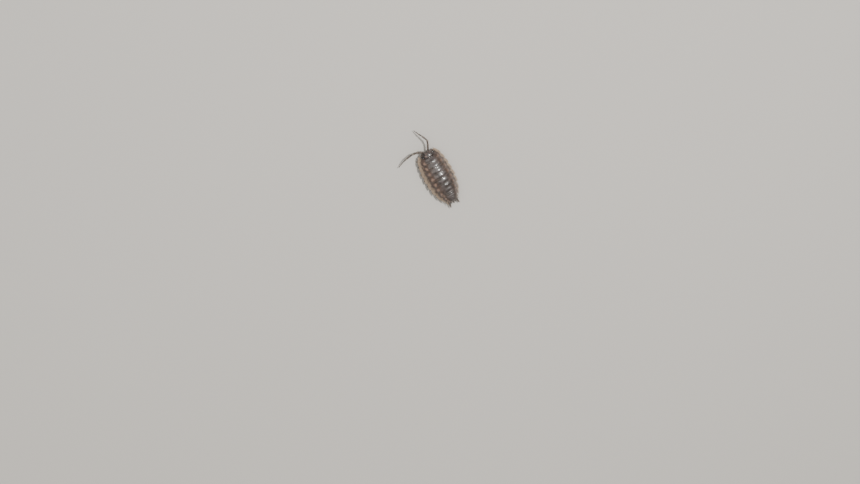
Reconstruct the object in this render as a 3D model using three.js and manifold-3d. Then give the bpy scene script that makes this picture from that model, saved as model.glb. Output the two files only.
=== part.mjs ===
// A common woodlouse, life size, standing on its fourteen legs with its antennae spread.
// Millimetres, +Z up. The head points to -Y, the animal's left is +X and the floor is z = 0.
// Until the last lines, y is counted from the front of the head back to the tip of the tail.
import * as THREE from "three";
import { mergeVertices } from "three/addons/utils/BufferGeometryUtils.js";
import Module from "manifold-3d";

const wasm = await Module();
wasm.setup();

// Driving dimensions
const bodyLength = 14; // front of the head to the tip of the tail plate
const bodyWidth = 6.85; // across the fourth pair of side plates
const backHeight = 3.45; // floor to the top of the back
const rimHeight = 1.12; // floor to the outer face of the back at the rim of the side plates
const bellyHeight = 1.66; // floor to the plates of the belly
const plateThickness = 0.46; // of the thorax plates
const tailThickness = 0.34; // of the tail plates
const plateStep = 0.15; // how far each plate stands above the one behind it
const plateTuck = 0.34; // how far each plate runs forward under the one before it
const seam = 0.1; // gap kept between nodes that meet
const legThickness = 0.5;

// Plates of the back: length along the mid-line, and how far the hind edge swings back at the rim
const thoraxPlates = [
  { length: 1.2, sweep: -0.42 },
  { length: 1.28, sweep: -0.34 },
  { length: 1.3, sweep: -0.16 },
  { length: 1.32, sweep: 0.06 },
  { length: 1.3, sweep: 0.36 },
  { length: 1.22, sweep: 0.78 },
  { length: 1.1, sweep: 1.3 },
];
const tailPlates = [
  { length: 0.44, sweep: 0.4, reach: 0.62 },
  { length: 0.46, sweep: 0.45, reach: 0.66 },
  { length: 0.56, sweep: 1.02, reach: 1 },
  { length: 0.54, sweep: 0.98, reach: 1 },
  { length: 0.5, sweep: 0.86, reach: 1 },
];
const neckY = 1.6; // front edge of the first plate at the mid-line
const neckSweep = -1.12; // its corners reach forward beside the head
const widestY = bodyLength * 0.475;

const blend = (a, b, t) => a + (b - a) * t;
const clamp01 = (t) => Math.min(1, Math.max(0, t));

// Half the width of the body at y, along the rim of the side plates.
function rimReach(y) {
  const t = y < widestY ? (widestY - y) / (widestY + 0.9) : (y - widestY) / (bodyLength + 0.1 - widestY);
  const fullness = y < widestY ? 0.46 : 0.66;
  return (bodyWidth / 2) * Math.max(0.02, 1 - Math.min(1, t) ** 2.3) ** fullness;
}

// Height of the back over the mid-line at y.
function ridgeHeight(y) {
  const front = y < widestY;
  const t = front ? (widestY - y) / (widestY + 1.1) : (y - widestY) / (bodyLength + 0.15 - widestY);
  const bulge = Math.max(0, 1 - Math.min(1, t) ** (front ? 2.2 : 2.6)) ** (front ? 0.75 : 0.85);
  return blend(rimHeight, backHeight, bulge);
}

// The arch of the back: a broad dome whose side plates flare out near the rim (side -1 to 1).
const archDrop = (side) => 0.62 * side ** 2 + 0.62 * side ** 4 - 0.24 * side ** 10;
const archSlope = (side) => 1.24 * side + 2.48 * side ** 3 - 2.4 * side ** 9;

// A point on the back, sunk along the outward normal of the arch.
function backPoint(side, y, reach, sunk) {
  const height = ridgeHeight(y) - rimHeight;
  const steep = (archSlope(side) * height) / reach;
  const tilt = Math.hypot(1, steep);
  return new THREE.Vector3(
    side * reach - (sunk * steep) / tilt,
    y,
    rimHeight + height * (1 - archDrop(side)) - sunk / tilt,
  );
}

// A closed slab between two grids of points: top(i, j) and bottom(i, j), i across and j along.
function slab(across, along, top, bottom) {
  const points = [];
  for (const face of [top, bottom])
    for (let j = 0; j <= along; j++)
      for (let i = 0; i <= across; i++) points.push(face(i / across, j / along));
  const row = across + 1;
  const at = (layer, i, j) => layer * row * (along + 1) + j * row + i;
  const faces = [];
  const quad = (a, b, c, d) => faces.push(a, b, c, a, c, d);
  for (let j = 0; j < along; j++)
    for (let i = 0; i < across; i++) {
      quad(at(0, i, j), at(0, i + 1, j), at(0, i + 1, j + 1), at(0, i, j + 1));
      quad(at(1, i, j), at(1, i, j + 1), at(1, i + 1, j + 1), at(1, i + 1, j));
    }
  for (let i = 0; i < across; i++) {
    quad(at(1, i, 0), at(1, i + 1, 0), at(0, i + 1, 0), at(0, i, 0));
    quad(at(0, i, along), at(0, i + 1, along), at(1, i + 1, along), at(1, i, along));
  }
  for (let j = 0; j < along; j++) {
    quad(at(0, 0, j), at(0, 0, j + 1), at(1, 0, j + 1), at(1, 0, j));
    quad(at(1, across, j), at(1, across, j + 1), at(0, across, j + 1), at(0, across, j));
  }
  const geometry = new THREE.BufferGeometry().setFromPoints(points);
  geometry.setIndex(faces);
  return solid(geometry);
}

// A closed geometry as a solid that can be joined and cut.
function solid(geometry) {
  const bare = new THREE.BufferGeometry();
  bare.setAttribute("position", geometry.getAttribute("position"));
  bare.setIndex(geometry.index);
  const merged = mergeVertices(bare, 1e-4);
  const kept = [];
  const index = merged.index.array;
  for (let i = 0; i < index.length; i += 3) {
    const [a, b, c] = index.slice(i, i + 3);
    if (a !== b && b !== c && a !== c) kept.push(a, b, c);
  }
  const mesh = new wasm.Mesh({
    numProp: 3,
    vertProperties: merged.attributes.position.array,
    triVerts: new Uint32Array(kept),
  });
  const made = new wasm.Manifold(mesh);
  if (made.volume() > 0) return made;
  const turned = new wasm.Mesh({
    numProp: 3,
    vertProperties: mesh.vertProperties,
    triVerts: new Uint32Array(kept.reverse()),
  });
  return new wasm.Manifold(turned);
}

const joined = (pieces) => pieces.reduce((sum, piece) => sum.add(piece));
const largest = (whole) => whole.decompose().reduce((a, b) => (b.volume() > a.volume() ? b : a));

// A shape cut clear of its neighbour by the seam, all round.
function clearOf(shape, neighbour) {
  let rest = shape;
  for (const axis of [0, 1, 2])
    for (const shift of [seam, -seam]) {
      const offset = [0, 0, 0];
      offset[axis] = shift;
      rest = rest.subtract(neighbour.translate(offset));
    }
  return largest(rest);
}

// An ellipsoid, turned by Euler angles.
function ovoid([x, y, z], [rx, ry, rz], turn = [0, 0, 0], around = 14, rings = 9) {
  const geometry = new THREE.SphereGeometry(1, around, rings);
  geometry.scale(rx, ry, rz);
  const place = new THREE.Matrix4().makeRotationFromEuler(new THREE.Euler(...turn));
  return solid(geometry.applyMatrix4(place.setPosition(x, y, z)));
}

function block([x0, y0, z0], [x1, y1, z1]) {
  const geometry = new THREE.BoxGeometry(x1 - x0, y1 - y0, z1 - z0);
  geometry.translate((x0 + x1) / 2, (y0 + y1) / 2, (z0 + z1) / 2);
  return solid(geometry);
}

// One article of a leg or antenna: narrow at its root, swollen towards its far joint.
function article(from, to, rootRadius, endRadius, sides) {
  const length = from.distanceTo(to);
  const profile = [
    [0, -0.5 * rootRadius],
    [0.86 * rootRadius, 0],
    [rootRadius, 0.4 * length],
    [endRadius, length],
    [0, length + 0.5 * endRadius],
  ].map(([r, h]) => new THREE.Vector2(r, h));
  const geometry = new THREE.LatheGeometry(profile, sides);
  const direction = to.clone().sub(from).normalize();
  const turn = new THREE.Quaternion().setFromUnitVectors(new THREE.Vector3(0, 1, 0), direction);
  return solid(geometry.applyQuaternion(turn).translate(from.x, from.y, from.z));
}

// A limb through its joints, with one radius at each.
function limb(joints, radii, sides) {
  const pieces = [];
  for (let n = 1; n < joints.length; n++)
    pieces.push(article(joints[n - 1], joints[n], radii[n - 1] * 0.9, radii[n], sides));
  return joined(pieces);
}

// One plate of the back, grown outwards on all sides where it serves as a cutter.
function plate({ frontY, backY, frontSweep, backSweep, reach = 1, thick, across, along }, grow = 0) {
  const swing = (side) => Math.abs(side) ** 2.6;
  const yAt = (side, v) =>
    blend(
      frontY - plateTuck * (1 - 0.6 * Math.abs(side)) - grow + frontSweep * swing(side),
      backY + grow + backSweep * swing(side),
      v,
    );
  const reachAt = (side, v) => {
    const y = yAt(side, v);
    const frontCorner = 0.1 * (1 - v) ** 3;
    const backCorner = 0.05 * v ** 6;
    const own = rimReach(Math.min(y, bodyLength - 0.9)) * reach;
    return own * (1 - frontCorner - backCorner) * (1 + 0.02 * v) + grow;
  };
  const lift = (v) => plateStep * (v - 0.55);
  const point = (u, v, sunk) => {
    const side = 2 * u - 1;
    return backPoint(side, yAt(side, v), reachAt(side, v), sunk - lift(v));
  };
  const sides = (u) => {
    const side = 2 * u - 1;
    return (Math.sign(side) * Math.abs(side) ** 0.85 + 1) / 2;
  };
  return slab(
    across,
    along,
    (u, v) => point(sides(u), v, -grow),
    (u, v) => point(sides(u), v, thick + grow),
  );
}

// The plates of one stretch of the back, from their front edge, as the numbers that plate() takes.
function plateRow(list, startY, startSweep, thick, across, along) {
  let frontY = startY;
  let frontSweep = startSweep;
  return list.map(({ length, sweep, reach }) => {
    const row = { frontY, backY: frontY + length, frontSweep, backSweep: sweep, reach, thick, across, along };
    frontY += length;
    frontSweep = sweep;
    return row;
  });
}
const thoraxRow = plateRow(thoraxPlates, neckY, neckSweep, plateThickness, 18, 3);
const thoraxEndY = thoraxRow.at(-1).backY;
const tailRow = plateRow(tailPlates, thoraxEndY, 0.4, tailThickness, 14, 2);
const tailEndY = tailRow.at(-1).backY;
const waistY = thoraxEndY - 0.25; // the flesh of the thorax ends here, under its last plate
const rumpY = tailEndY - 0.1; // the flesh of the tail ends here

// The flesh under the plates, flat below, with one low ridge across the belly for each segment.
function belly(startY, endY, share, floorAt, ridges) {
  const yAt = (v) => blend(startY, endY, v);
  const reachAt = (v) => rimReach(yAt(v)) * share;
  const coreArch = 0.3; // how deep the flesh lies under the outer face of the plates
  return slab(
    8,
    ridges * 2,
    (u, v) => {
      const side = (2 * u - 1) * share;
      return backPoint(side, yAt(v), rimReach(yAt(v)), coreArch);
    },
    (u, v) => {
      const side = 2 * u - 1;
      const ridge = 0.1 * Math.sin(Math.PI * ridges * v) ** 2;
      return new THREE.Vector3(side * reachAt(v) * 0.94, yAt(v), floorAt(v) + 0.22 * side ** 6 - ridge);
    },
  );
}

// Where the legs grow: one pair under each plate of the thorax.
const bossHeight = bellyHeight - 0.08;
const legRoots = thoraxRow.map(({ frontY, backY }, n) => {
  const y = blend(frontY, backY, blend(0.8, 0.42, n / 6));
  return new THREE.Vector3(rimReach(y) * 0.52, y, bossHeight - seam);
});

function legBoss(root, side) {
  const geometry = new THREE.CylinderGeometry(0.34, 0.4, 0.5, 8);
  geometry.rotateX(-Math.PI / 2);
  geometry.rotateY(Math.PI);
  geometry.translate(side * root.x, root.y, bossHeight + 0.25);
  return solid(geometry);
}

function thorax() {
  const core = belly(neckY + 0.5, waistY, 0.64, () => bellyHeight, 7);
  const bosses = legRoots.flatMap((root) => [legBoss(root, 1), legBoss(root, -1)]);
  return largest(joined([...thoraxRow.map((row) => plate(row)), core, ...bosses]));
}

// The gill flaps under the tail: five pairs of leaves that overlap like tiles.
function gillFlaps() {
  const flaps = [];
  for (let n = 0; n < 5; n++) {
    const y = thoraxEndY + 0.4 + 0.39 * n;
    const long = 0.62 - 0.05 * n;
    for (const side of [1, -1])
      flaps.push(
        ovoid(
          [side * (0.6 - 0.05 * n), y, 1.24 - 0.035 * n],
          [0.58 - 0.045 * n, long, 0.24],
          [0.3, 0, side * 0.25],
          8,
          6,
        ),
      );
  }
  return joined(flaps);
}

function tail() {
  const core = belly(waistY + seam, rumpY, 0.6, (v) => blend(1.5, 1.08, v), 5);
  const body = joined([...tailRow.map((row) => plate(row)), core, gillFlaps()]);
  const ahead = block([-6, -2, -1], [6, waistY + seam, 5]);
  const fore = plate(thoraxRow.at(-1), seam).add(ahead);
  return largest(body.subtract(fore).subtract(telson(seam)));
}

// The tail plate: a triangle drawn out to a point.
function telson(grow = 0) {
  const frontY = tailEndY - 0.12;
  const yAt = (v) => blend(frontY - grow, bodyLength + grow, v);
  const along = (v) => clamp01((yAt(v) - frontY) / (bodyLength - frontY));
  const halfWidth = (t) => blend(0.86, 0.13, t ** 0.72) + grow;
  const ridge = (t) => blend(ridgeHeight(tailEndY) - 0.06, 1.02, t ** 0.9);
  const height = (side, t) => ridge(t) - blend(0.5, 0.05, t) * side ** 2;
  const point = (u, v, sunk) => {
    const side = 2 * u - 1;
    const t = along(v);
    return new THREE.Vector3(side * halfWidth(t), yAt(v), height(side, t) - sunk(t));
  };
  return slab(
    8,
    6,
    (u, v) => point(u, v, () => -grow),
    (u, v) => point(u, v, (t) => blend(0.5, 0.34, t) + grow),
  );
}

// A uropod: a stout base with a spear-shaped outer branch and a thin inner one.
function uropod(side) {
  const base = ovoid([side * 0.82, rumpY + 0.26, 1.14], [0.32, 0.36, 0.32], [0, 0, 0], 10, 8);
  const outer = limb(
    [
      new THREE.Vector3(side * 0.86, rumpY + 0.3, 1.04),
      new THREE.Vector3(side * 1.02, rumpY + 1.1, 0.88),
      new THREE.Vector3(side * 1.14, rumpY + 1.95, 0.68),
    ],
    [0.28, 0.25, 0.07],
    8,
  );
  const inner = limb(
    [new THREE.Vector3(side * 0.66, rumpY + 0.2, 0.96), new THREE.Vector3(side * 0.46, rumpY + 1.3, 0.6)],
    [0.23, 0.1],
    7,
  );
  const ahead = block([-3, 0, 0], [3, rumpY + seam, 4]);
  const cutters = [ahead, telson(seam), plate(tailRow[4], seam), plate(tailRow[3], seam)];
  return largest(cutters.reduce((rest, cutter) => rest.subtract(cutter), joined([base, outer, inner])));
}

// Head: a rounded capsule with side lobes, a low brow and the mouthparts below.
function head(grow = 0) {
  const g = grow;
  const capsule = ovoid([0, 1.16, 1.98], [1.4 + g, 1.08 + g, 0.86 + g], [0.22, 0, 0], 22, 12);
  const cheeks = [1, -1].map((side) =>
    ovoid([side * 1.16, 0.7, 1.74], [0.46 + g, 0.5 + g, 0.3 + g], [0.2, side * 0.35, side * -0.5], 12, 8),
  );
  const brow = ovoid([0, 0.36, 1.84], [0.62 + g, 0.34 + g, 0.26 + g], [0.3, 0, 0], 14, 8);
  const mouth = ovoid([0, 1.0, 1.32], [0.72 + g, 0.6 + g, 0.46 + g], [-0.25, 0, 0], 16, 10);
  const palps = [1, -1].map((side) =>
    ovoid([side * 0.27, 1.08, 0.98], [0.24 + g, 0.42 + g, 0.24 + g], [-0.2, 0, side * 0.1], 8, 6),
  );
  return joined([capsule, ...cheeks, brow, mouth, ...palps]);
}

const eyeCentre = (side) => [side * 1.2, 1.0, 2.1];
const eye = (side, grow = 0) =>
  ovoid(eyeCentre(side), [0.24 + grow, 0.36 + grow, 0.26 + grow], [0, side * 0.5, side * -0.2], 12, 8);

function headWithSockets() {
  const behind = block([-3, neckY + 0.5 - seam, 0], [3, 4, 4]);
  const cut = [plate(thoraxRow[0], seam), behind, eye(1, seam), eye(-1, seam)];
  return largest(cut.reduce((rest, cutter) => rest.subtract(cutter), head()));
}

// The antennae: five articles and a whip of three. The left one reaches out sideways, the right one ahead.
const antennaRadii = [0.27, 0.27, 0.26, 0.26, 0.24, 0.2, 0.15, 0.12, 0.07];
const antennaPaths = {
  left: [
    [0.62, 0.3, 1.42],
    [0.82, -0.02, 1.36],
    [1.2, -0.3, 1.34],
    [1.74, -0.6, 1.52],
    [2.9, -0.98, 2.0],
    [4.5, -0.72, 1.52],
    [5.35, -0.42, 1.1],
    [6.12, -0.06, 0.78],
    [6.8, 0.32, 0.56],
  ],
  right: [
    [-0.62, 0.3, 1.42],
    [-0.8, -0.04, 1.36],
    [-1.0, -0.44, 1.36],
    [-1.22, -0.94, 1.54],
    [-1.42, -1.9, 2.0],
    [-0.92, -3.2, 1.6],
    [-0.56, -3.92, 1.18],
    [-0.32, -4.52, 0.84],
    [-0.14, -5.0, 0.58],
  ],
};

function antenna(path) {
  const joints = path.map((p) => new THREE.Vector3(...p));
  return largest(limb(joints, antennaRadii, 8).subtract(head(seam)));
}

// A leg runs in to its knee under the belly, then out past the rim to the floor.
// How far each foot stands ahead (-) or behind (+) its root, as the legs fan out in a slow step.
const footLead = {
  left: [-1.0, -0.85, -0.35, 0.15, 0.4, 1.0, 1.35],
  right: [-0.7, -0.55, -0.5, -0.1, 0.65, 0.8, 1.55],
};

function leg(root, lead, side) {
  const shape = [
    [0.52, 0, 1.62],
    [0.26, 0.12, 1.04],
    [0.43, 0.3, 0.98],
    [0.59, 0.48, 0.86],
    [0.77, 0.7, 0.6],
    [0.94, 0.92, 0.25],
    [0.975, 1, -0.12],
  ];
  const joints = shape.map(([out, swing, z]) => {
    const y = root.y + lead * swing;
    return new THREE.Vector3(side * out * rimReach(y), y, z);
  });
  const half = legThickness / 2;
  const radii = [half + 0.02, half + 0.02, half, half - 0.01, half - 0.03, half - 0.06, half - 0.1];
  const aboveRoot = block([-6, -2, root.z], [6, bodyLength + 3, 5]);
  const underFloor = block([-6, -4, -2], [6, bodyLength + 4, 0]);
  return largest(limb(joints, radii, 6).subtract(aboveRoot).subtract(underFloor));
}

const finish = (color, roughness) => new THREE.MeshStandardMaterial({ color, roughness, metalness: 0 });
const materials = {
  shell: finish(0x57504d, 0.35),
  limb: finish(0x8d8072, 0.5),
  eye: finish(0x0b0a0a, 0.15),
  tailPoint: finish(0x6b6058, 0.4),
};

const woodlouse = new THREE.Group();
function add(name, shape, material) {
  const { vertProperties, triVerts, numProp } = shape.getMesh();
  const positions = new Float32Array((vertProperties.length / numProp) * 3);
  for (let v = 0; v < positions.length / 3; v++)
    positions.set(vertProperties.subarray(v * numProp, v * numProp + 3), v * 3);
  const geometry = new THREE.BufferGeometry();
  geometry.setAttribute("position", new THREE.BufferAttribute(positions, 3));
  geometry.setIndex(new THREE.BufferAttribute(triVerts, 1));
  geometry.computeVertexNormals();
  const mesh = new THREE.Mesh(geometry, material);
  mesh.name = name;
  woodlouse.add(mesh);
}

add("head", headWithSockets(), materials.shell);
add("eye_left", largest(eye(1).subtract(plate(thoraxRow[0], seam))), materials.eye);
add("eye_right", largest(eye(-1).subtract(plate(thoraxRow[0], seam))), materials.eye);
add("antenna_left", antenna(antennaPaths.left), materials.limb);
add("antenna_right", antenna(antennaPaths.right), materials.limb);
const thoraxShape = thorax();
add("thorax", thoraxShape, materials.shell);
add("tail", tail(), materials.shell);
add("telson", telson(), materials.tailPoint);
add("uropod_left", uropod(1), materials.limb);
add("uropod_right", uropod(-1), materials.limb);
legRoots.forEach((root, n) => {
  for (const [name, side] of [["left", 1], ["right", -1]]) {
    const whole = leg(root, footLead[name][n], side);
    add(`leg_${name}_${n + 1}`, n === 0 ? clearOf(whole, thoraxShape) : whole, materials.limb);
  }
});

// The origin goes to the middle of the footprint of the whole animal, on the floor.
const reach = new THREE.Box3().setFromObject(woodlouse, true);
const middle = reach.getCenter(new THREE.Vector3());
woodlouse.position.set(-middle.x, -middle.y, -reach.min.z);

export default woodlouse;
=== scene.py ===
import bmesh
import bpy
import math
import random
from mathutils import Euler, Matrix, Vector, noise


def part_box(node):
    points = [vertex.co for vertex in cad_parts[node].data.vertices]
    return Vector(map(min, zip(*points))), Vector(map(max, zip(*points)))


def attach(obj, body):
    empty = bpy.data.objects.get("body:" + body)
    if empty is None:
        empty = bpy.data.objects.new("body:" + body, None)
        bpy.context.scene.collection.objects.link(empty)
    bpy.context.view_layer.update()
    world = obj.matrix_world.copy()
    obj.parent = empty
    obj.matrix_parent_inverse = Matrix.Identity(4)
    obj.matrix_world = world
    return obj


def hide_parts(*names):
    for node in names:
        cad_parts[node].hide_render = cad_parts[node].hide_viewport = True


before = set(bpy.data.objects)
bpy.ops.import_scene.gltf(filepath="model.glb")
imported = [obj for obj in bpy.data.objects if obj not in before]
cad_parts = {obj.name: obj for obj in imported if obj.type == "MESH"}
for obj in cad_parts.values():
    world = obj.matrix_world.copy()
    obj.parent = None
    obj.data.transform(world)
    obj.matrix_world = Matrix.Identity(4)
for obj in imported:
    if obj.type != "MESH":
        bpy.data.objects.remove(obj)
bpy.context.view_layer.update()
scene = bpy.context.scene
random.seed(11)

# Shapes are made in body millimetres: x to the animal's left, y from the head back, z up from the floor.
body = {
    "length": 14.0,
    "width": 6.85,
    "back": 3.45,  # height of the back
    "rim": 1.12,  # height of the rims of the plates
    "belly": 1.64,  # height of the belly
    "neck": 1.6,  # where the first plate starts on the mid-line
    "neckSweep": -1.12,  # how far its front corners reach ahead of that
    "tuck": 0.34,  # how far a plate goes under the one before it
    "tailTuck": 0.2,
    "step": 0.16,  # how much a plate rises from its front edge to its hind edge
}
thoraxLow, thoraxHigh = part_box("thorax")
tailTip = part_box("telson")[1].y
middleX = (thoraxLow.x + thoraxHigh.x) / 2
toRow = Matrix.Translation((middleX, tailTip - body["length"] / 1000, 0)) @ Matrix.Scale(0.001, 4)


def blend(a, b, t):
    return a + (b - a) * t


def fade(t):
    t = min(1, max(0, t))
    return t * t * (3 - 2 * t)


def hump(x, centre, width):
    return math.exp(-((x - centre) / width) ** 2)


widestY = body["length"] * 0.475


def rimReach(y):  # half the width of the body at y
    front = y < widestY
    t = (widestY - y) / (widestY + 0.9) if front else (y - widestY) / (body["length"] + 0.1 - widestY)
    fullness = 0.46 if front else 0.66
    return body["width"] / 2 * max(0.02, 1 - min(1, t) ** 2.3) ** fullness


def ridgeHeight(y):  # height of the back over the mid-line
    front = y < widestY
    t = (widestY - y) / (widestY + 1.1) if front else (y - widestY) / (body["length"] + 0.15 - widestY)
    bulge = max(0, 1 - min(1, t) ** (2.2 if front else 2.6)) ** (0.75 if front else 0.85)
    return blend(body["rim"], body["back"], bulge)


def backPoint(side, y, reach, sunk):  # a point on the arch of the back, sunk along its normal
    height = ridgeHeight(y) - body["rim"]
    drop = 0.62 * side**2 + 0.62 * side**4 - 0.24 * side**10
    steep = (1.24 * side + 2.48 * side**3 - 2.4 * side**9) * height / reach
    tilt = math.hypot(1, steep)
    return Vector((side * reach - sunk * steep / tilt, y, body["rim"] + height * (1 - drop) - sunk / tilt))


# Plates of the back: length along the mid-line, swing of the hind edge at the rim, share of the width
plateSizes = [
    (1.2, -0.42, 1),
    (1.28, -0.34, 1),
    (1.3, -0.16, 1),
    (1.32, 0.06, 1),
    (1.3, 0.36, 1),
    (1.22, 0.78, 1),
    (1.1, 1.3, 1),
    (0.44, 0.2, 0.74),
    (0.46, -0.1, 0.78),
    (0.56, 1.02, 1),
    (0.54, 0.98, 1),
    (0.5, 0.86, 1),
]
plates = []
frontY, frontSweep = body["neck"], body["neckSweep"]
for number, (length, sweep, share) in enumerate(plateSizes):
    plates.append({"number": number, "tail": number > 6, "frontY": frontY, "backY": frontY + length,
                   "frontSweep": frontSweep, "backSweep": sweep, "share": share})
    frontY += length
    frontSweep = 0.4 if number == 6 else sweep
thoraxEnd, tailEnd = plates[6]["backY"], plates[11]["backY"]
rumpY = tailEnd - 0.1


# A node's output that takes part in sums, and a paint that adds the nodes
class Signal:
    def __init__(self, paint, socket):
        self.paint = paint
        self.socket = socket

    def maths(self, operation, *values):
        return self.paint.node("ShaderNodeMath", {"operation": operation}, dict(enumerate(values)))

    def __add__(self, other):
        return self.maths("ADD", self, other)

    def __sub__(self, other):
        return self.maths("SUBTRACT", self, other)

    def __rsub__(self, other):
        return self.maths("SUBTRACT", other, self)

    def __mul__(self, other):
        return self.maths("MULTIPLY", self, other)

    def __abs__(self):
        return self.maths("ABSOLUTE", self)

    __radd__ = __add__
    __rmul__ = __mul__


class Paint:
    def __init__(self, name, **fixed):
        self.material = bpy.data.materials.new(name)
        self.material.use_nodes = True
        self.tree = self.material.node_tree
        self.shader = self.tree.nodes["Principled BSDF"]
        for socket, value in fixed.items():
            self.shader.inputs[socket.replace("_", " ")].default_value = value
        self.place = self.node("ShaderNodeTexCoord", output="Object")

    def node(self, kind, settings=None, inputs=None, output=0):
        made = self.tree.nodes.new(kind)
        for setting, value in (settings or {}).items():
            if setting == "stops":
                for stop, (position, colour) in zip(made.color_ramp.elements, value):
                    stop.position, stop.color = position, (*colour, 1)
            else:
                setattr(made, setting, value)
        for socket, value in (inputs or {}).items():
            self.feed(made.inputs[socket], value)
        return Signal(self, made.outputs[output])

    def feed(self, socket, value):
        if isinstance(value, Signal):
            self.tree.links.new(value.socket, socket)
        else:
            socket.default_value = value

    def read(self, attribute):
        return self.node("ShaderNodeAttribute", {"attribute_name": attribute}, output="Fac")

    def cloud(self, scale, detail=4, roughness=0.55, lacunarity=2.0):
        inputs = {"Vector": self.place, "Scale": scale, "Detail": detail, "Roughness": roughness,
                  "Lacunarity": lacunarity}
        return self.node("ShaderNodeTexNoise", inputs=inputs, output="Fac")

    def pebbles(self, scale):
        inputs = {"Vector": self.place, "Scale": scale}
        return self.node("ShaderNodeTexVoronoi", {"feature": "SMOOTH_F1"}, inputs, output="Distance")

    def ramp(self, value, low, high):  # 0 below low, 1 above high, soft between
        inputs = {"Value": value, "From Min": low, "From Max": high}
        return self.node("ShaderNodeMapRange", {"interpolation_type": "SMOOTHSTEP"}, inputs)

    def patch(self, value, centre, width):  # 1 at the centre, 0 beyond the width
        return 1 - self.ramp(abs(value - centre), 0.0, width)

    def mix(self, factor, a, b):
        inputs = {0: factor}
        for socket, colour in ((6, a), (7, b)):
            inputs[socket] = colour if isinstance(colour, Signal) else (*colour, 1)
        return self.node("ShaderNodeMix", {"data_type": "RGBA"}, inputs, output=2)

    def relief(self, height, distance, strength=1.0, under=None):
        inputs = {"Height": height, "Distance": distance, "Strength": strength}
        if under:
            inputs["Normal"] = under
        return self.node("ShaderNodeBump", inputs=inputs, output="Normal")

    def finish(self, **varying):
        for socket, value in varying.items():
            self.feed(self.shader.inputs[socket.replace("_", " ")], value)
        return self.material


# Finishes
backColours = {
    "dark": (0.024, 0.018, 0.016),
    "slate": (0.092, 0.073, 0.071),
    "brown": (0.110, 0.062, 0.041),
    "spot": (0.37, 0.235, 0.175),
    "margin": (0.47, 0.355, 0.255),
    "edge": (0.31, 0.24, 0.185),
}


def paintBack(name, spotSide=0.6):
    paint = Paint(name, Coat_Roughness=0.08, Specular_IOR_Level=0.6)
    side, along = abs(paint.read("side")), paint.read("along")
    broad = paint.cloud(1100, 5, 0.6)
    wander = paint.cloud(2700, 5, 0.65) - 0.5
    grain = paint.cloud(6500, 6, 0.65)
    base = paint.mix(paint.ramp(broad, 0.38, 0.66), backColours["dark"], backColours["slate"])
    warm = paint.patch(side + wander * 0.3, 0.6, 0.4) * paint.ramp(paint.cloud(1700, 4), 0.3, 0.62)
    base = paint.mix(warm * 0.8, base, backColours["brown"])
    base = paint.mix(paint.patch(side + wander * 0.3, 0.0, 0.16) * 0.4, base, backColours["dark"])
    marks = paint.ramp(paint.cloud(4300, 3, 0.5, 2.4), 0.54, 0.66) * paint.patch(side, 0.38, 0.34)
    base = paint.mix(marks * paint.patch(along, 0.6, 0.42) * 0.4, base, backColours["edge"])
    rowSpots = paint.patch(side, spotSide, 0.19) * paint.patch(along, 0.66, 0.42)
    spots = paint.ramp(rowSpots + wander * 2.4, 0.36, 0.86)
    # The spots are painted fainter on the right half: painted light, standing in for the sheen of grazing
    # light that washes them out on that side.
    unsheenedLeftHalf = paint.ramp(paint.read("side"), -0.2, 0.2)
    base = paint.mix(spots * (0.36 + unsheenedLeftHalf * 0.4), base, backColours["spot"])
    margin = paint.ramp(side + wander * 0.4, 0.76, 0.9)
    cloudy = paint.ramp(paint.cloud(2600, 5, 0.62), 0.4, 0.68)
    marginTint = paint.mix(cloudy * 0.4, backColours["margin"], backColours["brown"])
    base = paint.mix(margin * 0.92, base, marginTint)
    hind = paint.ramp(along + wander * 0.05, 0.93, 0.985)
    base = paint.mix(hind * 0.55, base, backColours["edge"])
    granules = paint.ramp(paint.pebbles(3100), 0.5, 0.08) * (1 - margin * 0.7)
    rough = paint.relief(grain, 0.000008, 0.6)
    rough = paint.relief(granules, 0.000012, 0.4, rough)
    roughness = 0.26 + grain * 0.2 + margin * 0.14
    coat = 0.55 - margin * 0.4
    return paint.finish(Base_Color=base, Roughness=roughness, Coat_Weight=coat, Normal=rough)


def paintHead(name):
    paint = Paint(name, Coat_Roughness=0.12, Specular_IOR_Level=0.6)
    grain = paint.cloud(5200, 6, 0.65)
    broad = paint.cloud(1300, 5, 0.6)
    base = paint.mix(paint.ramp(broad, 0.36, 0.64), backColours["dark"], backColours["slate"])
    base = paint.mix(paint.ramp(paint.cloud(2700, 4, 0.6), 0.56, 0.7) * 0.55, base, backColours["spot"])
    base = paint.mix(paint.read("pale"), base, backColours["margin"])
    granules = paint.ramp(paint.pebbles(2900), 0.55, 0.1)
    rough = paint.relief(grain, 0.000006, 0.5)
    rough = paint.relief(granules, 0.00002, 0.6, rough)
    return paint.finish(Base_Color=base, Roughness=0.22 + grain * 0.18, Coat_Weight=0.35, Normal=rough)


def paintLimb(name, shade, tint, pale):
    paint = Paint(name, Coat_Roughness=0.2, Subsurface_Weight=0.12, Subsurface_Scale=0.0002)
    grain = paint.cloud(7000, 5, 0.6)
    base = paint.mix(paint.ramp(paint.cloud(1700, 4), 0.38, 0.62), shade, tint)
    base = paint.mix(paint.ramp(grain, 0.52, 0.72) * 0.4, base, pale)
    base = paint.mix(paint.read("joint") * 0.8, base, pale)
    rough = paint.relief(grain, 0.000008, 0.6)
    return paint.finish(Base_Color=base, Roughness=0.34 + grain * 0.2, Coat_Weight=0.2, Normal=rough)


def paintBelly(name, skin, shadow):
    paint = Paint(name, Subsurface_Weight=0.2, Subsurface_Scale=0.0003, Coat_Roughness=0.2)
    grain = paint.cloud(6000, 5, 0.6)
    base = paint.mix(paint.ramp(paint.cloud(1200, 5), 0.35, 0.7), skin, shadow)
    base = paint.mix(paint.ramp(grain, 0.55, 0.8) * 0.5, base, shadow)
    rough = paint.relief(grain, 0.00001, 0.6)
    return paint.finish(Base_Color=base, Roughness=0.38 + grain * 0.2, Coat_Weight=0.15, Normal=rough)


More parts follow.
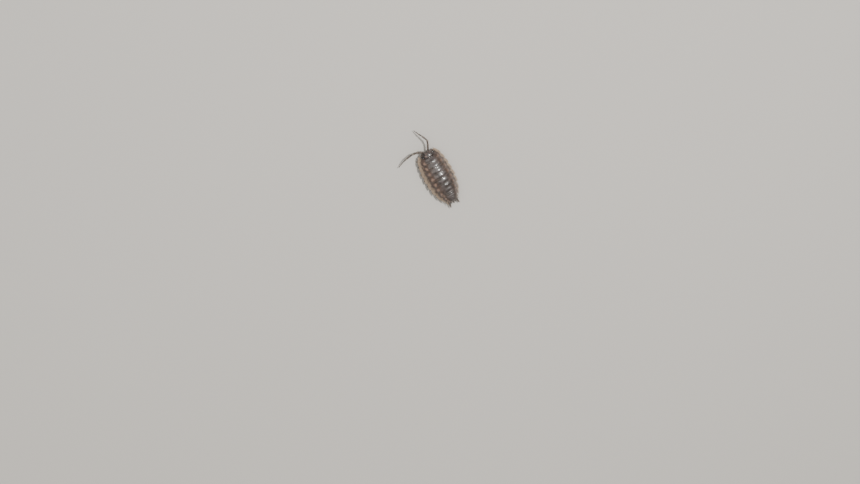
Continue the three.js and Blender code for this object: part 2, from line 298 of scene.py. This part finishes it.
def paintEye(name):
    paint = Paint(name, Coat_Weight=0.8, Coat_Roughness=0.05)
    grain = paint.cloud(9000, 3)
    base = paint.mix(grain, (0.004, 0.004, 0.005), (0.014, 0.012, 0.012))
    return paint.finish(Base_Color=base, Roughness=0.1 + grain * 0.1)


def paintClaw(name):
    paint = Paint(name, Coat_Weight=0.3)
    grain = paint.cloud(9000, 3)
    base = paint.mix(grain, (0.035, 0.02, 0.012), (0.12, 0.07, 0.04))
    return paint.finish(Base_Color=base, Roughness=0.25 + grain * 0.15)


chitin = paintBack("slateChitin")
headChitin = paintHead("headChitin")
legHorn = paintLimb("legHorn", (0.16, 0.125, 0.10), (0.30, 0.245, 0.195), (0.46, 0.40, 0.33))
feelerHorn = paintLimb("feelerHorn", (0.065, 0.055, 0.052), (0.13, 0.105, 0.09), (0.36, 0.30, 0.25))
bellySkin = paintBelly("bellySkin", (0.50, 0.44, 0.37), (0.27, 0.22, 0.18))
gillSkin = paintBelly("gillSkin", (0.60, 0.55, 0.47), (0.36, 0.30, 0.25))
eyeBlack = paintEye("eyeBlack")
clawHorn = paintClaw("clawHorn")
print("finishes mixed")


# Shape helpers: a piece is shaped in body millimetres, and then moved into the row's frame
def settle(name, bm, material, modifiers=(), shape=None):
    mesh = bpy.data.meshes.new(name)
    bm.to_mesh(mesh)
    bm.free()
    piece = bpy.data.objects.new(name, mesh)
    scene.collection.objects.link(piece)
    for kind, settings in modifiers:
        modifier = piece.modifiers.new(kind.lower(), kind)
        for setting, value in settings.items():
            setattr(modifier, setting, value)
    if modifiers:
        bpy.context.view_layer.update()
        shaped = piece.evaluated_get(bpy.context.evaluated_depsgraph_get())
        solidMesh = bpy.data.meshes.new_from_object(shaped)
        piece.modifiers.clear()
        piece.data = solidMesh
    if shape:
        shape(piece.data)
    piece.data.transform(toRow)
    piece.data.shade_smooth()
    piece.data.materials.clear()
    piece.data.materials.append(material)
    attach(piece, "root")
    return piece


def layerOf(bm, name):
    return bm.verts.layers.float.get(name) or bm.verts.layers.float.new(name)


def pour(source, target):  # adds one mesh to another
    layerOf(target, "joint")
    mesh = bpy.data.meshes.new("part")
    source.to_mesh(mesh)
    source.free()
    target.from_mesh(mesh)
    bpy.data.meshes.remove(mesh)


def spunShape(target, profile, steps, matrix, marks=None):  # profile: (radius, height) pairs, spun about z
    bm = bmesh.new()
    layer = layerOf(bm, "joint")
    corners = [bm.verts.new((radius, 0, height)) for radius, height in profile]
    edges = [bm.edges.new(pair) for pair in zip(corners, corners[1:])]
    bmesh.ops.spin(bm, geom=corners + edges, cent=(0, 0, 0), axis=(0, 0, 1), angle=math.tau, steps=steps,
                   use_merge=True)
    bmesh.ops.remove_doubles(bm, verts=bm.verts, dist=1e-5)
    if marks:
        for vertex in bm.verts:
            vertex[layer] = marks(vertex.co.z)
    bmesh.ops.transform(bm, matrix=matrix, verts=bm.verts)
    bmesh.ops.recalc_face_normals(bm, faces=bm.faces)
    pour(bm, target)


def towards(start, direction):  # z along the direction, from the start
    turn = Vector(direction).to_track_quat("Z", "Y").to_matrix().to_4x4()
    return Matrix.Translation(start) @ turn


def ovoid(bm, centre, radii, turn=(0, 0, 0), around=24, rings=16):
    matrix = Matrix.Translation(centre) @ Euler(turn).to_matrix().to_4x4() @ Matrix.Diagonal((*radii, 1))
    ball = bmesh.ops.create_uvsphere(bm, u_segments=around, v_segments=rings, radius=1, matrix=matrix)
    return ball["verts"]


def bristle(bm, root, direction, length, radius):
    matrix = towards(root, direction) @ Matrix.Translation((0, 0, length / 2))
    bmesh.ops.create_cone(bm, cap_ends=True, cap_tris=True, segments=4, radius1=radius,
                          radius2=radius * 0.12, depth=length, matrix=matrix)


# Outlines of a limb's article: share of its radius, share of its length
articleShape = [(0, -0.04), (0.62, -0.02), (0.84, 0.03), (0.86, 0.12), (0.88, 0.3), (0.95, 0.55),
                (1.04, 0.78), (1.1, 0.9), (1.02, 0.97), (0.7, 1.0), (0, 1.02)]
spearShape = [(0, -0.03), (0.5, -0.01), (0.78, 0.05), (0.95, 0.2), (1.0, 0.36), (0.95, 0.52),
              (0.78, 0.7), (0.52, 0.85), (0.26, 0.95), (0.1, 0.99), (0, 1.0)]


def article(bm, start, end, startRadius, endRadius, look):
    length = (end - start).length
    profile = []
    for share, height in look.get("shape", articleShape):
        profile.append((share * blend(startRadius, endRadius, min(1, max(0, height))), height * length))
    flat = Matrix.Diagonal((1, look["flat"], 1, 1))
    matrix = towards(start, end - start) @ flat
    spunShape(bm, profile, look["sides"], matrix,
              lambda z: max(hump(z / length, 0, 0.07), hump(z / length, 1, 0.07)))
    for _ in range(look["bristles"]):
        share, angle = random.uniform(0.15, 0.98), random.uniform(0, math.tau)
        radius = blend(startRadius, endRadius, share) * 0.88
        out = Vector((math.cos(angle), math.sin(angle) * look["flat"], 0))
        root = matrix @ Vector((math.cos(angle) * radius, math.sin(angle) * radius, share * length))
        lean = towards((0, 0, 0), end - start).to_3x3() @ (out + Vector((0, 0, 1.1)))
        bristle(bm, root, lean, look["hair"] * random.uniform(0.7, 1.2), look["hair"] * 0.07)


def limb(bm, joints, radii, look):
    for n in range(len(joints) - 1):
        article(bm, joints[n], joints[n + 1], radii[n] * 0.94, radii[n + 1], look)
    return bm


# Plates of the back
plateLook = {
    "across": 104,
    "along": 24,
    "thickness": 0.13,
    "tailThickness": 0.0975,
    "edgeCurve": 2.6,  # the edges are nearly straight over the mid-line and swing out at the rims
    "frontCorner": 0.1,  # how much the corners are rounded, as shares of the half width
    "hindCorners": (0.05, 0.03),
    "blunt": 4,  # plates with blunt hind corners
    "grooveSide": 0.7,  # where the groove lies, as a share of the half width
    "groove": 0.05,
    "bead": 0.016,
    "swell": 0.085,
    "knob": 0.02,
    "granule": 0.017,
    "granuleScale": 3.6,
    "tailSunk": 0.03,
    "narrowSunk": 0.12,  # the rims of the two narrow tail plates stay under the last thorax plate
    "seamSunk": 0.07,  # and the plate behind them dips below their hind edge
}


def platePoint(plate, side, t, lift=0.0):  # side from -1 to 1 across, t from 0 at the front to 1 behind
    a = abs(side)
    swing = a ** plateLook["edgeCurve"]
    front = plate["frontY"] + plate["frontSweep"] * swing
    if plate["number"]:
        front -= body["tailTuck" if plate["tail"] else "tuck"] * (1 - 0.4 * a)
    y = blend(front, plate["backY"] + plate["backSweep"] * swing, t)
    hindCorner = plateLook["hindCorners"][0 if plate["number"] < plateLook["blunt"] else 1]
    corners = 1 - plateLook["frontCorner"] * (1 - t) ** 3 - hindCorner * t**6
    reach = rimReach(min(y, body["length"] - 0.9)) * corners * (1 + 0.02 * t)
    raised = lift + body["step"] * (t - 0.55) - (plateLook["tailSunk"] if plate["tail"] else 0)
    if plate["share"] < 1:
        raised -= plateLook["narrowSunk"] * fade((a - 0.5) / 0.5)
    else:
        raised -= plateLook["groove"] * hump(a, plateLook["grooveSide"], 0.07) * fade(t / 0.3)
    if plate["number"] == 9:
        raised -= plateLook["seamSunk"] * (1 - fade(t / 0.5))
    raised += plateLook["bead"] * (hump(t, 0.95, 0.06) + hump(a, 0.96, 0.03) * fade(t / 0.2))
    raised += plateLook["swell"] * (hump(t, 0.66, 0.26) - 0.6) * (1 - a**4)
    raised += plateLook["knob"] * hump(t, 0.62, 0.2) * hump(a, 0.6, 0.1)
    return backPoint(side * plate["share"], y, reach, -raised)


def thicken(thickness, corner):  # a sheet gets its thickness and rounded edges
    rounded = {"width": corner, "segments": 2, "limit_method": "ANGLE", "angle_limit": math.radians(50)}
    return [
        ("SOLIDIFY", {"thickness": thickness, "offset": -1}),
        ("BEVEL", rounded),
        ("SUBSURF", {"levels": 1, "render_levels": 1}),
    ]


def roughenPlate(mesh):  # low granules on the upper face, fewer towards the rim
    sides = mesh.attributes["side"].data
    normals = [vertex.normal.copy() for vertex in mesh.vertices]
    for vertex, normal in zip(mesh.vertices, normals):
        if normal.z > 0.1:
            cell = noise.voronoi(vertex.co * plateLook["granuleScale"])[0][0]
            sparse = fade(noise.noise(vertex.co * 1.3) + 0.75)
            inner = 1 - fade((abs(sides[vertex.index].value) - 0.7) / 0.25)
            vertex.co += normal * plateLook["granule"] * fade(1 - cell / 0.4) * sparse * inner


for plate in plates:
    bm = bmesh.new()
    bmesh.ops.create_grid(bm, x_segments=plateLook["across"], y_segments=plateLook["along"], size=1)
    sideLayer, alongLayer = layerOf(bm, "side"), layerOf(bm, "along")
    for vertex in bm.verts:
        side = math.copysign(abs(vertex.co.x) ** 0.85, vertex.co.x)
        t = vertex.co.y / 2 + 0.5
        vertex[sideLayer], vertex[alongLayer] = side * plate["share"], t
        vertex.co = platePoint(plate, side, t)
    name = f"tailPlate{plate['number'] - 6}" if plate["tail"] else f"thoraxPlate{plate['number'] + 1}"
    thickness = plateLook["tailThickness" if plate["tail"] else "thickness"]
    piece = settle(name, bm, chitin, thicken(thickness, thickness * 0.3), roughenPlate)
    if plate["number"] == 0:
        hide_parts("thorax")
    if plate["number"] == 7:
        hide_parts("tail")
print("plates laid")

# Tail plate, drawn out to a point
telsonLook = {
    "across": 28,
    "along": 26,
    "thickness": 0.14,
    "halfWidths": (0.84, 0.1),  # at the root and at the tip
    "tipHeight": 1.0,
    "arches": (0.5, 0.06),  # how far the rims hang below the mid-line, at the root and at the tip
    "root": 0.25,  # how far it goes under the last plate
}
bm = bmesh.new()
bmesh.ops.create_grid(bm, x_segments=telsonLook["across"], y_segments=telsonLook["along"], size=1)
sideLayer, alongLayer = layerOf(bm, "side"), layerOf(bm, "along")
for vertex in bm.verts:
    side, t = vertex.co.x, vertex.co.y / 2 + 0.5
    halfWidth = blend(*telsonLook["halfWidths"], t**0.72)
    height = blend(ridgeHeight(tailEnd) - 0.07, telsonLook["tipHeight"], t**0.9)
    height -= blend(*telsonLook["arches"], t) * side**2
    height += 0.02 * hump(abs(side), 0.9, 0.1) - 0.04 * hump(side, 0, 0.25) * hump(t, 0.75, 0.25)
    vertex[sideLayer] = side * (0.4 + 0.48 * fade((abs(side) - 0.6) / 0.4))
    vertex[alongLayer] = t
    y = blend(tailEnd - telsonLook["root"], body["length"] - 0.02, t)
    vertex.co = Vector((side * halfWidth, y, height))
piece = settle("telsonPlate", bm, chitin, thicken(telsonLook["thickness"], 0.04))
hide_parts("telson")
print("tail plate drawn out")

# Flesh of the body, with the plates of the belly and the pegs that the legs grow from
fleshLook = {
    "start": 1.9,  # where the flesh begins behind the face
    "share": 0.66,  # of the half width
    "waist": 0.12,  # how much less that is under the narrow tail plates
    "under": 0.35,  # depth below the arch of the back
    "middle": 1.95,  # height of its widest line
    "rings": 150,
    "around": 64,
    "rootSide": 0.52,  # where the legs grow, as a share of the half width
    # Outline of a peg: radius and height
    "peg": [(0, -0.02), (0.24, -0.02), (0.31, 0.03), (0.34, 0.1), (0.42, 0.2), (0.4, 0.4), (0, 0.5)],
}
segmentEnds = [plate["backY"] for plate in plates[:7]]


def bellyHeight(y, side):
    tail = fade((y - thoraxEnd + 0.3) / 0.7)
    height = blend(body["belly"], 1.5 - 0.16 * max(0, y - thoraxEnd), tail)
    for edge in segmentEnds:
        height += 0.1 * hump(y, edge, 0.1) * (1 - tail)
        height -= 0.05 * hump(y, edge - 0.55, 0.3) * (1 - tail)
    return height + 0.12 * side**4 - 0.03 * hump(side, 0, 0.12)


def legRoot(n):
    plate = plates[n]
    y = blend(plate["frontY"], plate["backY"], blend(0.8, 0.42, n / 6))
    return Vector((rimReach(y) * fleshLook["rootSide"], y, 1.48))


bm = bmesh.new()
for vertex in ovoid(bm, (0, 0, 0), (1, 1, 1), (0, 0, 0), fleshLook["around"], fleshLook["rings"]):
    t = math.acos(max(-1, min(1, vertex.co.z))) / math.pi
    angle = math.atan2(vertex.co.y, vertex.co.x)
    full = max(0, math.sin(math.pi * t)) ** 0.22
    y = blend(fleshLook["start"], rumpY, t)
    across = math.copysign(abs(math.cos(angle)) ** 0.7, math.cos(angle)) * full
    share = across * (fleshLook["share"] - fleshLook["waist"] * hump(y, thoraxEnd + 0.45, 0.7))
    x, _, top = backPoint(share, y, rimReach(y), fleshLook["under"])
    top -= 0.2 * fade((y - rumpY + 0.6) / 0.5)
    lift = math.copysign(abs(math.sin(angle)) ** 0.5, math.sin(angle)) * full
    middle = min(fleshLook["middle"], top - 0.3)
    z = middle + (top - middle) * lift if lift > 0 else middle - (middle - bellyHeight(y, across)) * -lift
    vertex.co = Vector((x, y, z))
for n in range(7):
    for side in (1, -1):
        root = legRoot(n)
        root.x *= side
        matrix = Matrix.Translation((root.x, root.y, 1.56)) @ Matrix.Diagonal((1, 0.9, 1, 1))
        spunShape(bm, fleshLook["peg"], 20, matrix)
settle("bodyFlesh", bm, bellySkin)
print("belly filled")

# Gill flaps: five pairs of leaves that overlap like tiles
gillLook = {
    "pairs": 5,
    "spacing": 0.39,
    "thickness": 0.05,
    "wide": 0.56,
    "long": 0.6,
    "shrink": 0.05,  # each pair is that much smaller than the one before it, and closer in
    "side": 0.6,
    "height": 1.1,
    "turn": (0.24, -0.12, 0.22),
}
bm = bmesh.new()
for n in range(gillLook["pairs"]):
    for side in (1, -1):
        y = thoraxEnd + 0.4 + gillLook["spacing"] * n
        less = gillLook["shrink"] * n
        wide, long = gillLook["wide"] - less, gillLook["long"] - less
        for vertex in ovoid(bm, (0, 0, 0), (1, 1, 1), (0, 0, 0), 32, 14):
            x, back, up = vertex.co
            taper = 1 - 0.28 * fade((back + 0.2) / 1.2)
            leaf = Vector((x * wide * taper, back * long, up * gillLook["thickness"] - 0.07 * x * x))
            nod, roll, swing = gillLook["turn"]
            leaf.rotate(Euler((nod, side * roll, side * swing)))
            root = Vector((side * (gillLook["side"] - less), y, gillLook["height"] - 0.9 * less))
            vertex.co = leaf + root
bmesh.ops.recalc_face_normals(bm, faces=bm.faces)
settle("gillFlaps", bm, gillSkin)
print("gill flaps hung")

# Head, one skin over its lobes, with granules raised on it
headLook = {"voxel": 0.042, "granule": 0.03, "granuleScale": 5.2, "neckDepth": 0.34}
# Centre, radii and turn of each form
headForms = {
    "skull": ((0, 1.16, 1.98), (1.4, 1.06, 0.84), (0.22, 0, 0)),
    "sideLobe": ((1.16, 0.72, 1.74), (0.44, 0.5, 0.19), (0.3, 0.5, -0.45)),
    "feelerSocket": ((0.62, 0.42, 1.5), (0.34, 0.3, 0.26), (0, 0, 0)),
    "brow": ((0, 0.36, 1.86), (0.62, 0.34, 0.2), (0.3, 0, 0)),
    "lip": ((0, 0.55, 1.42), (0.5, 0.4, 0.34), (-0.2, 0, 0)),
    "chin": ((0, 1.0, 1.34), (0.72, 0.6, 0.4), (-0.25, 0, 0)),
}


def headForm(bm, name, side=1, around=24, rings=16):
    (x, y, z), radii, (nod, roll, swing) = headForms[name]
    ovoid(bm, (side * x, y, z), radii, (nod, side * roll, side * swing), around, rings)


bm = bmesh.new()
headForm(bm, "skull", 1, 48, 32)
for side in (1, -1):
    headForm(bm, "sideLobe", side)
    headForm(bm, "feelerSocket", side)
for name in ("brow", "lip", "chin"):
    headForm(bm, name)


def sinkNeck(x, y, z):  # the back of the head dips under the front edge of the first plate
    side = min(1, abs(x) / rimReach(y))
    edge = plates[0]["frontY"] + plates[0]["frontSweep"] * side ** plateLook["edgeCurve"]
    ceiling = backPoint(side, y, rimReach(y), headLook["neckDepth"]).z
    return blend(z, min(z, ceiling), fade((y - edge + 0.26) / 0.26))


def granulate(mesh):
    pale = mesh.attributes.new("pale", "FLOAT", "POINT")
    normals = [vertex.normal.copy() for vertex in mesh.vertices]
    for vertex, normal in zip(mesh.vertices, normals):
        x, y, z = vertex.co
        vertex.co.z = sinkNeck(x, y, z)
        lobe = hump(abs(x), 1.5, 0.24) * hump(y, 0.45, 0.35)
        pale.data[vertex.index].value = min(1, 0.12 * lobe)
        cell = noise.voronoi(vertex.co * headLook["granuleScale"])[0][0]
        if z > 1.5:
            vertex.co += normal * headLook["granule"] * fade(1 - cell / 0.45)


piece = settle("headCapsule", bm, headChitin, [
    ("REMESH", {"mode": "VOXEL", "voxel_size": headLook["voxel"]}),
    ("SMOOTH", {"factor": 0.5, "iterations": 5}),
], granulate)
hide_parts("head")

# Mouthparts: pairs of flaps, palps and jaws, and the upper lip
headForms.update({
    "flap": ((0.25, 1.12, 0.98), (0.24, 0.46, 0.1), (-0.2, 0.25, 0.06)),
    "palp": ((0.3, 0.76, 0.94), (0.15, 0.2, 0.12), (-0.3, 0, 0.2)),
    "jaw": ((0.18, 0.6, 1.08), (0.14, 0.16, 0.2), (0.3, 0, 0.4)),
    "upperLip": ((0, 0.5, 1.2), (0.34, 0.14, 0.2), (0.4, 0, 0)),
})
bm = bmesh.new()
for side in (1, -1):
    for name in ("flap", "palp", "jaw"):
        headForm(bm, name, side)
headForm(bm, "upperLip")
settle("mouthparts", bm, bellySkin)
print("head shaped")

# Eyes: beads packed on a low oval
eyeLook = {
    "beads": 34,
    "bead": 0.05,
    "centre": (1.2, 0.95, 2.1),
    "radii": (0.22, 0.34, 0.24),
    "lean": (0.5, -0.2),
    "facing": (0.9, -0.15, 0.4),
    "spread": 1.35,  # angle from the middle bead to the outermost
    "spiral": 2.39996,  # angle from one bead to the next
}
for name, side in (("left", 1), ("right", -1)):
    bm = bmesh.new()
    x, y, z = eyeLook["centre"]
    centre = Vector((side * x, y, z))
    tilt = (0, side * eyeLook["lean"][0], side * eyeLook["lean"][1])
    turn = Euler(tilt).to_matrix()
    x, y, z = eyeLook["facing"]
    facing = Vector((side * x, y, z)).normalized().to_track_quat("Z", "Y").to_matrix()
    ovoid(bm, centre, eyeLook["radii"], tilt, 32, 20)
    for n in range(eyeLook["beads"]):
        away = eyeLook["spread"] * math.sqrt((n + 0.5) / eyeLook["beads"])
        angle = n * eyeLook["spiral"]
        flat = math.sin(away)
        ray = facing @ Vector((flat * math.cos(angle), flat * math.sin(angle), math.cos(away)))
        local = turn.inverted() @ ray
        spot = centre + turn @ Vector(a * b for a, b in zip(local, eyeLook["radii"]))
        matrix = Matrix.Translation(spot) @ Matrix.Scale(eyeLook["bead"], 4)
        bmesh.ops.create_icosphere(bm, subdivisions=2, radius=1, matrix=matrix)
    piece = settle(f"{name}Eye", bm, eyeBlack)
    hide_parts(f"eye_{name}")
print("eyes set")

# Antennae: five articles and a whip of three, the left held out sideways and the right ahead
antennaLook = {"sides": 16, "flat": 0.92, "bristles": 26, "hair": 0.11}
antennaRadii = [0.25, 0.26, 0.25, 0.24, 0.22, 0.18, 0.13, 0.1, 0.05]
antennaPaths = {
    "left": [(0.62, 0.3, 1.42), (0.82, -0.02, 1.36), (1.2, -0.3, 1.34), (1.74, -0.6, 1.52),
             (2.9, -0.98, 2.0), (4.5, -0.72, 1.52), (5.35, -0.42, 1.1), (6.12, -0.06, 0.78),
             (6.78, 0.3, 0.57)],
    "right": [(-0.62, 0.3, 1.42), (-0.8, -0.04, 1.36), (-1.0, -0.44, 1.36), (-1.22, -0.94, 1.54),
              (-1.42, -1.9, 2.0), (-0.92, -3.2, 1.6), (-0.56, -3.92, 1.18), (-0.32, -4.52, 0.84),
              (-0.15, -4.97, 0.6)],
}
for name, path in antennaPaths.items():
    bm = limb(bmesh.new(), [Vector(p) for p in path], antennaRadii, antennaLook)
    piece = settle(f"{name}Antenna", bm, feelerHorn)
    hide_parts(f"antenna_{name}")
print("antennae jointed")

# Legs. For each joint: share of the half width, share of the foot's lead and height.
# A foot's lead is how far it stands behind the root of its leg.
legLook = {"sides": 14, "flat": 0.86, "bristles": 9, "hair": 0.15}
legShape = [(0.52, 0, 1.62), (0.26, 0.12, 1.04), (0.43, 0.3, 0.98), (0.59, 0.48, 0.86), (0.77, 0.7, 0.6),
            (0.94, 0.92, 0.22)]
legRadii = [0.25, 0.25, 0.235, 0.22, 0.19, 0.12]
footLead = {
    "left": [-1.0, -0.85, -0.35, 0.15, 0.4, 1.0, 1.35],
    "right": [-0.7, -0.55, -0.5, -0.1, 0.65, 0.8, 1.55],
}
clawTip = [(0, -0.02), (0.06, 0), (0.052, 0.06), (0.032, 0.12), (0.01, 0.17), (0, 0.175)]
claws = bmesh.new()
for name, side in (("left", 1), ("right", -1)):
    for n, lead in enumerate(footLead[name]):
        root = legRoot(n)
        joints = []
        for out, swing, height in legShape:
            y = root.y + lead * swing
            joints.append(Vector((side * out * rimReach(y), y, height)))
        bm = limb(bmesh.new(), joints, legRadii, legLook)
        heel = joints[-1]
        y = root.y + lead
        toe = Vector((side * 0.985 * rimReach(y), y, 0.035))
        article(claws, heel, blend(heel, toe, 0.62), 0.1, 0.075, {**legLook, "bristles": 4, "hair": 0.1})
        spunShape(claws, clawTip, 10, towards(blend(heel, toe, 0.58), toe - heel))
        piece = settle(f"{name}Leg{n + 1}", bm, legHorn)
        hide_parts(f"leg_{name}_{n + 1}")
for vertex in claws.verts:
    vertex.co.z = max(vertex.co.z, 0)
settle("claws", claws, clawHorn)
print("legs jointed")

# Uropods: a stout base, a spear-shaped outer branch and a thin inner one
uropodLook = {
    "sides": 20,
    "flat": 0.62,
    "bristles": 22,
    "hair": 0.1,
    "shape": spearShape,
    # Root and tip, from the middle of the rump, and the radii at both
    "outer": ((0.88, 0.42, 1.04), (1.14, 1.94, 0.7), 0.24, 0.22),
    "inner": ((0.66, 0.2, 0.96), (0.46, 1.28, 0.62), 0.15, 0.13),
}
for name, side in (("left", 1), ("right", -1)):
    bm = bmesh.new()
    turn = (0.16, side * 0.3, side * -0.12)
    ovoid(bm, (side * 0.79, rumpY + 0.25, 1.09), (0.31, 0.5, 0.25), turn, 32, 20)
    for branch in ("outer", "inner"):
        root, tip, *radii = uropodLook[branch]
        ends = [Vector((side * x, rumpY + y, z)) for x, y, z in (root, tip)]
        article(bm, *ends, *radii, uropodLook)
    piece = settle(f"{name}Uropod", bm, feelerHorn)
    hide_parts(f"uropod_{name}")
print("uropods set")

# Short hairs along the rim of the side plates
fringeLook = {"hairs": 15, "length": 0.07}
bm = bmesh.new()
for plate in plates:
    if plate["share"] < 1:
        continue
    for side in (1, -1):
        for n in range(fringeLook["hairs"]):
            t = (n + random.uniform(0.2, 0.8)) / fringeLook["hairs"]
            root = platePoint(plate, side * 0.995, t, -0.06)
            out = Vector((side, random.uniform(-0.2, 0.5), -0.35))
            bristle(bm, root, out, fringeLook["length"] * random.uniform(0.6, 1.1), 0.007)
settle("rimHairs", bm, feelerHorn)
print("fringe planted")

# Floor, light and camera
stageLook = {
    "floor": 3.0,
    "keyPower": 1.4,
    "keySize": 0.05,
    "keyReach": 0.42,
    "fillPower": 0.9,
    "fillSize": 0.5,
    "fillReach": 0.7,
    "daylight": (1, 0.97, 0.93),
    "sky": 0.45,
}
bm = bmesh.new()
bmesh.ops.create_grid(bm, x_segments=1, y_segments=1, size=stageLook["floor"] / 2)
floorMesh = bpy.data.meshes.new("paleFloor")
bm.to_mesh(floorMesh)
bm.free()
paleFloor = bpy.data.objects.new("paleFloor", floorMesh)
scene.collection.objects.link(paleFloor)
floorPaint = Paint("floorPaint")
floorCloud = floorPaint.cloud(9, 4)
floorTint = floorPaint.mix(floorCloud, (0.66, 0.64, 0.60), (0.70, 0.68, 0.645))
floorMesh.materials.append(floorPaint.finish(Base_Color=floorTint, Roughness=0.78 + floorCloud * 0.08))

cameraLook = {
    "lens": 100,  # millimetres, on a sensor 36 wide
    "towardsHead": 20,  # degrees that the camera leans over the head
    "towardsLeft": 10,  # degrees that it leans over the left side
    "headTurn": 30,  # degrees that the head points left of straight up in the picture
    "bodySpan": 60.3,  # pixels from head to tail
    "bodyAt": (440.8, 177.5),  # pixels
    "frame": (860, 484),
}


def placeCamera(look):
    centre = toRow @ Vector((0, body["length"] / 2, 1.9))
    leanLeft, leanAhead = math.radians(look["towardsLeft"]), math.radians(look["towardsHead"])
    back = Vector((math.tan(leanLeft), -math.tan(leanAhead), 1)).normalized()
    ahead = Vector((0, -1, 0))
    ahead = (ahead - back * ahead.dot(back)).normalized()
    turn = math.radians(-look["headTurn"])
    up = ahead * math.cos(turn) + back.cross(ahead) * math.sin(turn)
    right = up.cross(back)
    wide, high = look["frame"]
    pixels = wide * look["lens"] / 36
    shown = body["length"] / 1000 * math.cos(math.radians(look["towardsHead"]))
    distance = pixels * shown / look["bodySpan"]
    across = (look["bodyAt"][0] - wide / 2) / pixels
    above = (high / 2 - look["bodyAt"][1]) / pixels
    spot = centre - (right * across + up * above - back) * distance
    data = bpy.data.cameras.new("camera")
    data.lens = look["lens"]
    data.sensor_width = 36
    data.clip_start = 0.002
    data.clip_end = 20
    camera = bpy.data.objects.new("camera", data)
    scene.collection.objects.link(camera)
    turned = Matrix((right, up, back)).transposed().to_4x4()
    camera.matrix_world = Matrix.Translation(spot) @ turned
    scene.camera = camera
    return centre, right, up


def areaLight(name, target, direction):
    data = bpy.data.lights.new(name, "AREA")
    data.shape = "DISK"
    data.size = stageLook[name + "Size"]
    data.energy = stageLook[name + "Power"]
    data.color = stageLook["daylight"]
    light = bpy.data.objects.new(name, data)
    scene.collection.objects.link(light)
    light.matrix_world = towards(target + direction.normalized() * stageLook[name + "Reach"], direction)


centre, right, up = placeCamera(cameraLook)
flatRight, flatUp = Vector((right.x, right.y, 0)).normalized(), Vector((up.x, up.y, 0)).normalized()
keyWay = flatRight * 0.16 + flatUp * 0.31 + Vector((0, 0, 1))
areaLight("key", centre, keyWay)
fillWay = flatRight * -0.8 + flatUp * 0.3 + Vector((0, 0, 1.2))
areaLight("fill", centre, fillWay)
scene.world = scene.world or bpy.data.worlds.new("world")
scene.world.use_nodes = True
sky = scene.world.node_tree.nodes["Background"].inputs
sky["Color"].default_value = (*stageLook["daylight"], 1)
sky["Strength"].default_value = stageLook["sky"]
print("stage lit")
